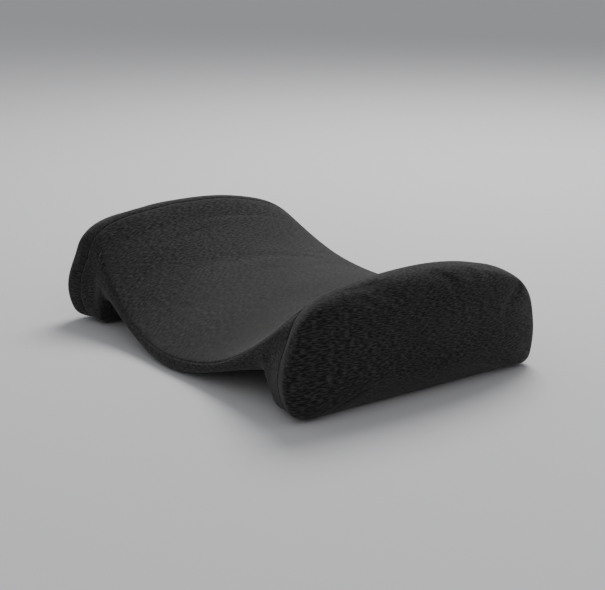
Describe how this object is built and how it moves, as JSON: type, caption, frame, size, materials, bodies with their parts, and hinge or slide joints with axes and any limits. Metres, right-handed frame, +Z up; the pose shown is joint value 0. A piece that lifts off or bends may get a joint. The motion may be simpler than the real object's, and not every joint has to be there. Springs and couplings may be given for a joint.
{
  "type": "lumbar support cushion",
  "caption": "Contoured lumbar support cushion with two thick side wings, a saddle-shaped middle, a zipped woven cover and two buckled straps across its hollow back.",
  "frame": {"origin": "middle of the footprint, on the surface that the cushion lies on", "axes": "+X across the cushion to its right wing, +Y along the spine from the thin lower lip to the upper edge, +Z up out of its front face"},
  "size_m": [0.445, 0.3159, 0.1232],
  "materials": {
    "cover_fabric": "woven charcoal heather",
    "back_fabric": "black spacer mesh",
    "liner_jersey": "light jersey knit",
    "foam": "open cell foam",
    "black_webbing": "ribbed polyester",
    "black_nylon": "satin moulded",
    "zip_metal": "black satin",
    "label_satin": "satin"
  },
  "bodies": {
    "root": {"foam_core": "foam", "inner_liner": "liner_jersey", "face_panel": "cover_fabric", "left_side_panel": "cover_fabric", "right_side_panel": "cover_fabric", "lower_end_panel": "cover_fabric", "upper_end_panel": "cover_fabric", "back_panel": "back_fabric", "zip_tape_front": "black_webbing", "zip_coil_front": "black_nylon", "zip_tape_back": "black_webbing", "zip_coil_back": "black_nylon", "zip_stop_left": "zip_metal", "zip_stop_right": "zip_metal", "lower_webbing_left": "black_webbing", "lower_anchor_patch_left": "black_webbing", "lower_webbing_right": "black_webbing", "lower_anchor_patch_right": "black_webbing", "lower_buckle_female": "black_nylon", "upper_webbing_left": "black_webbing", "upper_anchor_patch_left": "black_webbing", "upper_webbing_right": "black_webbing", "upper_anchor_patch_right": "black_webbing", "upper_buckle_female": "black_nylon", "care_label": "label_satin"},
    "zip_slider_body": {"zip_slider": "zip_metal"},
    "zip_pull_body": {"zip_pull": "zip_metal"},
    "lower_adjuster_body": {"lower_adjuster": "black_nylon"},
    "upper_adjuster_body": {"upper_adjuster": "black_nylon"},
    "lower_male_body": {"lower_buckle_male": "black_nylon"},
    "upper_male_body": {"upper_buckle_male": "black_nylon"}
  },
  "joints": [
    {"name": "zip_slider_travel", "type": "slide", "parent": "root", "child": "zip_slider_body", "axis": [1, 0, 0], "range_m": [0, 0.188]},
    {"name": "zip_pull_flip", "type": "hinge", "parent": "zip_slider_body", "child": "zip_pull_body", "pos_m": [-0.0945, 0.097, 0.0225], "axis": [0, 1, 0], "range_deg": [0, 165]},
    {"name": "lower_adjuster_slide", "type": "slide", "parent": "root", "child": "lower_adjuster_body", "axis": [1, 0, 0], "range_m": [-0.016, 0.016]},
    {"name": "lower_buckle_release", "type": "slide", "parent": "root", "child": "lower_male_body", "axis": [1, 0, 0], "range_m": [0, 0.03]},
    {"name": "upper_adjuster_slide", "type": "slide", "parent": "root", "child": "upper_adjuster_body", "axis": [1, 0, 0], "range_m": [-0.016, 0.016]},
    {"name": "upper_buckle_release", "type": "slide", "parent": "root", "child": "upper_male_body", "axis": [1, 0, 0], "range_m": [0, 0.03]}
  ]
}
